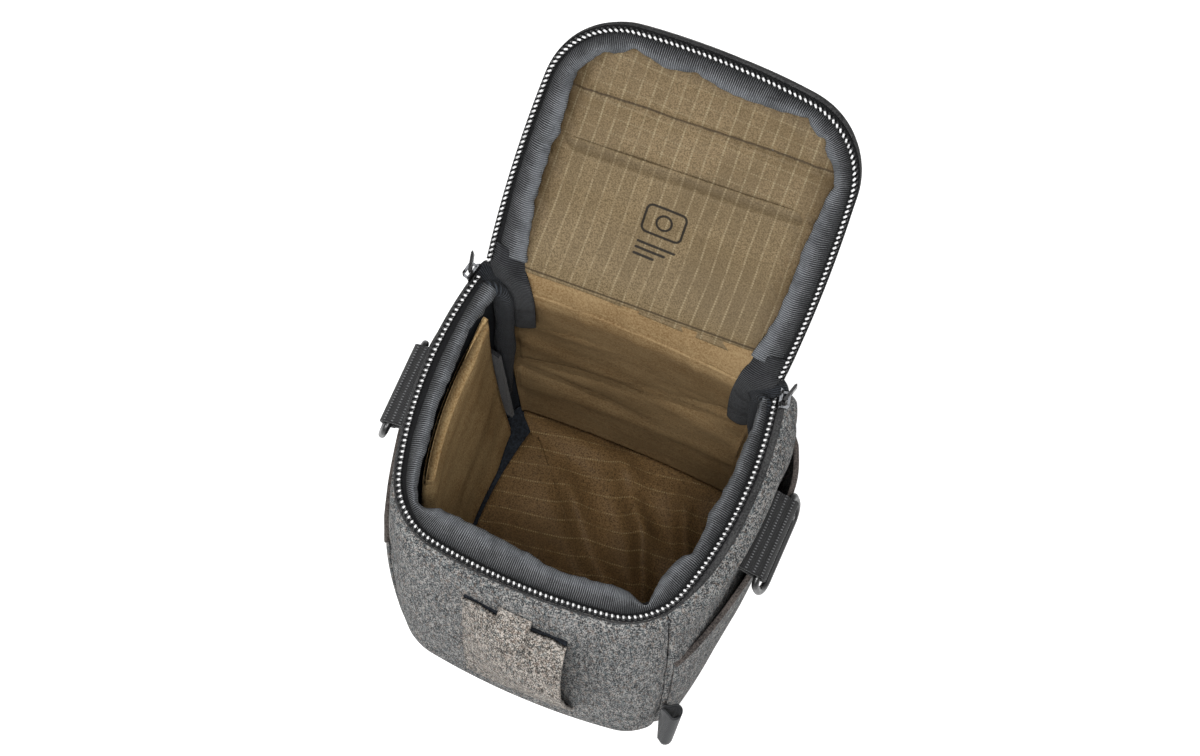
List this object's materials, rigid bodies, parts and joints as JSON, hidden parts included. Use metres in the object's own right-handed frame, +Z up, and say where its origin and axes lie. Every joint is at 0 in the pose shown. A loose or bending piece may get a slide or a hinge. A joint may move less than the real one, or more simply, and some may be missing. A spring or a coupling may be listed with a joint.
{
  "type": "camera belt pouch",
  "caption": "Padded camera belt pouch with a zip-round hinged lid, side pockets, D-rings on webbing tabs, front band, belt loop and lift-out divider.",
  "frame": {"origin": "centre of the floor panel, on its underside", "axes": "+X to the right seen from the front, +Y from the front to the hinge and belt loop side, +Z up"},
  "size_m": [0.1609, 0.2163, 0.2393],
  "materials": {
    "shell_cloth": "grey melange woven cloth",
    "band_cloth": "smooth dark grey-brown edging cloth",
    "binding_cloth": "ribbed grosgrain",
    "tape_cloth": "black woven zip tape",
    "coil_nylon": "black nylon coil",
    "tan_lining": "tan ripstop lining",
    "brushed_cloth": "tan brushed cloth",
    "dark_lining": "charcoal lining",
    "foam_pad": "closed-cell foam",
    "webbing": "black webbing",
    "gloss_black": "glossy black moulding",
    "slider_metal": "black enamelled metal",
    "ribbon": "smooth dark grey ribbon",
    "hook_tape": "black hook tape"
  },
  "bodies": {
    "pouch_body": {"front_panel": "shell_cloth", "front_foam": "foam_pad", "front_lining": "dark_lining", "right_panel": "shell_cloth", "right_foam": "foam_pad", "right_lining": "dark_lining", "back_panel": "shell_cloth", "back_foam": "foam_pad", "back_lining": "tan_lining", "left_panel": "shell_cloth", "left_foam": "foam_pad", "left_lining": "dark_lining", "floor_panel": "shell_cloth", "floor_foam": "foam_pad", "floor_lining": "tan_lining", "rim_zip_tape": "tape_cloth", "rim_zip_teeth": "coil_nylon", "rim_edge_band": "band_cloth", "rim_binding": "binding_cloth", "left_pocket": "shell_cloth", "right_pocket": "shell_cloth", "left_pocket_hem": "band_cloth", "right_pocket_hem": "band_cloth", "left_webbing_tab": "webbing", "right_webbing_tab": "webbing", "front_band": "shell_cloth", "front_band_tab": "shell_cloth", "ribbon_tag": "ribbon", "belt_loop": "webbing", "hinge_fold": "shell_cloth", "left_corner_gusset": "tape_cloth", "right_corner_gusset": "tape_cloth"},
    "lid": {"lid_zip_tape": "tape_cloth", "lid_zip_teeth": "coil_nylon", "lid_edge_band": "band_cloth", "lid_binding": "binding_cloth", "lid_lining": "tan_lining", "lid_foam": "foam_pad", "lid_top_panel": "shell_cloth", "lid_side_band": "shell_cloth", "lid_pocket": "tan_lining", "lid_hinge_roll": "tan_lining", "lid_pocket_hem": "tan_lining"},
    "left_slider_body": {"left_slider": "slider_metal"},
    "right_slider_body": {"right_slider": "slider_metal"},
    "left_pull_body": {"left_pull": "slider_metal"},
    "right_pull_body": {"right_pull": "slider_metal"},
    "left_ring": {"left_d_ring": "gloss_black"},
    "right_ring": {"right_d_ring": "gloss_black"},
    "divider_pad": {"divider": "brushed_cloth", "divider_front_hook": "hook_tape", "divider_back_hook": "hook_tape"}
  },
  "joints": [
    {"name": "lid_hinge", "type": "hinge", "parent": "pouch_body", "child": "lid", "pos_m": [0, 0.05015, 0.17086], "axis": [-1, 0, 0], "range_deg": [-146, 14]},
    {"name": "divider_lift", "type": "slide", "parent": "pouch_body", "child": "divider_pad", "axis": [0.1392, 0, 0.9903], "range_m": [0, 0.15]},
    {"name": "right_slider_travel", "type": "hinge", "parent": "pouch_body", "child": "right_slider_body", "pos_m": [-0.0962, 0.01094, 0.16519], "axis": [0, 0.108, -0.9942], "range_deg": [0, 25]},
    {"name": "left_slider_travel", "type": "hinge", "parent": "pouch_body", "child": "left_slider_body", "pos_m": [0.0962, 0.01094, 0.16519], "axis": [0, -0.108, 0.9942], "range_deg": [0, 25]},
    {"name": "right_pull_swing", "type": "hinge", "parent": "right_slider_body", "child": "right_pull_body", "pos_m": [0.0638, 0.04592, 0.1703], "axis": [0, 0.108, -0.9942], "range_deg": [-22, 138]},
    {"name": "left_pull_swing", "type": "hinge", "parent": "left_slider_body", "child": "left_pull_body", "pos_m": [-0.0638, 0.04592, 0.1703], "axis": [0, -0.108, 0.9942], "range_deg": [-22, 138]},
    {"name": "right_ring_swing", "type": "hinge", "parent": "pouch_body", "child": "right_ring", "pos_m": [0.07698, 0.008, 0.1226], "axis": [0, -1, 0], "range_deg": [0, 130]},
    {"name": "left_ring_swing", "type": "hinge", "parent": "pouch_body", "child": "left_ring", "pos_m": [-0.07514, 0.008, 0.1226], "axis": [0, 1, 0], "range_deg": [0, 130]}
  ]
}
